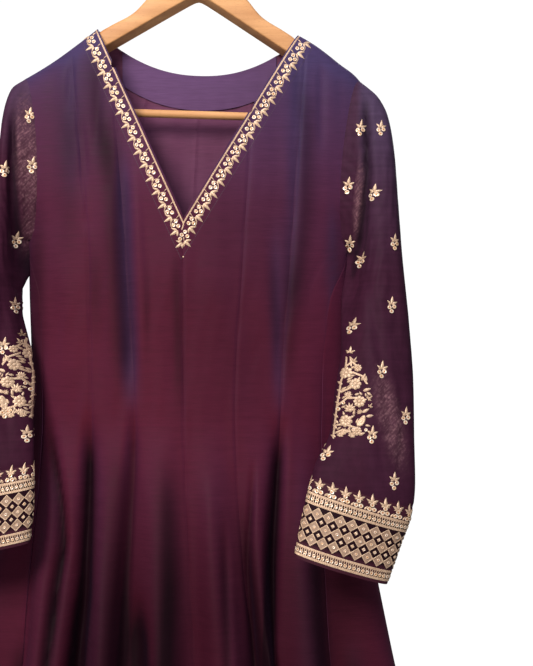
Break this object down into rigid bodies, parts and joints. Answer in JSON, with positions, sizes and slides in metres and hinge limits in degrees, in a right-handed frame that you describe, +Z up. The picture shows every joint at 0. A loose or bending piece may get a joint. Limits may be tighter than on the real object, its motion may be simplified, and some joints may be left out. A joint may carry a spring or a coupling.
{
  "type": "anarkali gown on a wooden hanger",
  "caption": "Full-length flared gown of long shaped panels with a V neck, sheer full sleeves and embroidered cuffs, hanging from a wooden hanger with a wire hook.",
  "frame": {"origin": "the point inside the top of the hanger's hook where it bears on a rail", "axes": "+Z up, -Y out of the gown's front, +X towards the viewer's right when facing the front"},
  "size_m": [0.7772, 0.3538, 1.5287],
  "materials": {
    "shot_silk": "wine and blue shot silk, soft slub weave",
    "facing_silk": "the same shot silk turned in at the neck, bluer in the light",
    "sheer_silk": "sheer plum organza with a crinkled sheen",
    "embroidered_border": "dense gold thread and sequin work on wine silk",
    "gold_cord": "twisted metallic gold cord",
    "beech": "clear satin varnish on pale beech",
    "hook_steel": "bright plated wire"
  },
  "bodies": {
    "root": {"front_centre_kali_left": "shot_silk", "front_centre_kali_right": "shot_silk", "front_princess_kali_left": "shot_silk", "front_princess_kali_right": "shot_silk", "front_side_kali_left": "shot_silk", "front_side_kali_right": "shot_silk", "back_centre_kali_left": "shot_silk", "back_centre_kali_right": "shot_silk", "back_princess_kali_left": "shot_silk", "back_princess_kali_right": "shot_silk", "back_side_kali_left": "shot_silk", "back_side_kali_right": "shot_silk", "back_neck_facing": "facing_silk", "sleeve_left": "sheer_silk", "sleeve_right": "sheer_silk", "cuff_border_left": "embroidered_border", "cuff_border_right": "embroidered_border", "neck_piping": "gold_cord", "hanger_arms": "beech", "hanger_bar": "beech", "hanger_hook": "hook_steel"}
  },
  "joints": []
}
